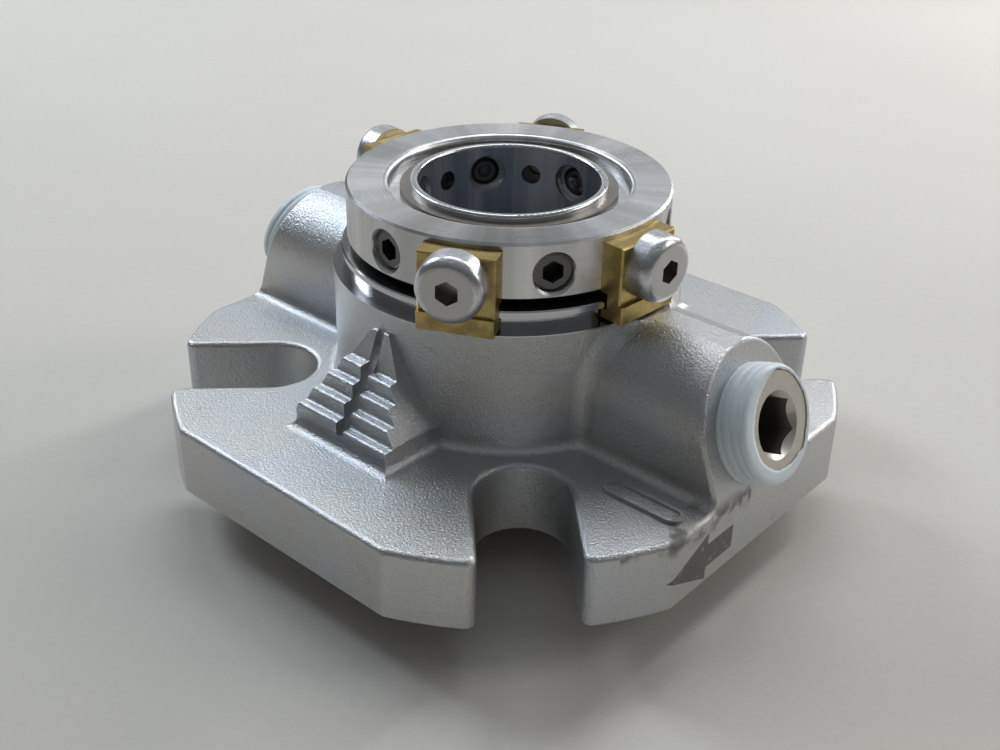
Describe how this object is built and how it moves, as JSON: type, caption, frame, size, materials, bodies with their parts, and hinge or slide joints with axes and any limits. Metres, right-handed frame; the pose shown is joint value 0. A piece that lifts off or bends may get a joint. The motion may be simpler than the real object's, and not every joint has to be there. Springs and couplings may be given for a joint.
{
  "type": "cartridge mechanical seal",
  "caption": "Single cartridge shaft seal: slotted gland with tilted side ports, sleeve with clamp ring, setting clips, grub screws and spring-loaded faces.",
  "frame": {"origin": "on the shaft axis, at the inboard end of the sleeve, which the part stands on", "axes": "+Z along the shaft axis from the pump side towards the clamp ring; -Y through one stud slot; the front port at -45 degrees from +X"},
  "size_m": [0.1064, 0.1064, 0.0515],
  "materials": {
    "casting": "satin blasted investment casting with machined spigot and bores",
    "plug_steel": "plain machined plug",
    "thread_tape": "thin white tape wound over the thread",
    "gasket": "dark flat gasket",
    "inner_steel": "plain steel",
    "elastomer": "black elastomer",
    "sleeve_steel": "polished turned steel",
    "turned_steel": "bright turned steel with round tool marks",
    "retaining_steel": "brownish grey stamped steel",
    "face_ceramic": "lapped dark ceramic",
    "face_carbon": "lapped carbon",
    "dark_screw_steel": "dark grey screw steel",
    "clip_brass": "dull machined brass",
    "bright_screw_steel": "satin flat face with bright rounded rim"
  },
  "bodies": {
    "housing": {"gland": "casting", "front_port_plug": "plug_steel", "rear_port_plug": "plug_steel", "front_thread_tape": "thread_tape", "rear_thread_tape": "thread_tape", "gland_gasket": "gasket", "lock_pin_1": "inner_steel", "lock_pin_2": "inner_steel", "stationary_o_ring": "elastomer", "face_spring_1": "inner_steel", "face_spring_2": "inner_steel", "face_spring_3": "inner_steel", "face_spring_4": "inner_steel", "face_spring_5": "inner_steel", "face_spring_6": "inner_steel"},
    "face_carrier": {"stationary_face": "face_carbon", "thrust_plate": "inner_steel"},
    "rotor": {"sleeve": "sleeve_steel", "clamp_ring": "turned_steel", "retaining_ring": "retaining_steel", "shaft_o_ring": "elastomer", "rotary_face": "face_ceramic", "rotary_o_ring": "elastomer", "drive_pin_1": "inner_steel", "drive_pin_2": "inner_steel", "grub_screw_1": "dark_screw_steel", "grub_screw_2": "dark_screw_steel", "grub_screw_3": "dark_screw_steel", "grub_screw_4": "dark_screw_steel", "grub_screw_5": "dark_screw_steel", "grub_screw_6": "dark_screw_steel", "setting_clip_1": "clip_brass", "setting_clip_2": "clip_brass", "setting_clip_3": "clip_brass", "setting_clip_4": "clip_brass", "clip_screw_1": "bright_screw_steel", "clip_screw_2": "bright_screw_steel", "clip_screw_3": "bright_screw_steel", "clip_screw_4": "bright_screw_steel"}
  },
  "joints": [
    {"name": "shaft_turn", "type": "hinge", "parent": "housing", "child": "rotor", "pos_m": [0, 0, 0], "axis": [0, 0, 1], "continuous": true},
    {"name": "face_float", "type": "slide", "parent": "housing", "child": "face_carrier", "axis": [0, 0, 1], "range_m": [0, 0.0012], "stiffness_N_per_m": 1500, "springref_m": -0.002, "deforming": ["face_spring_1", "face_spring_2", "face_spring_3", "face_spring_4", "face_spring_5", "face_spring_6"]}
  ]
}
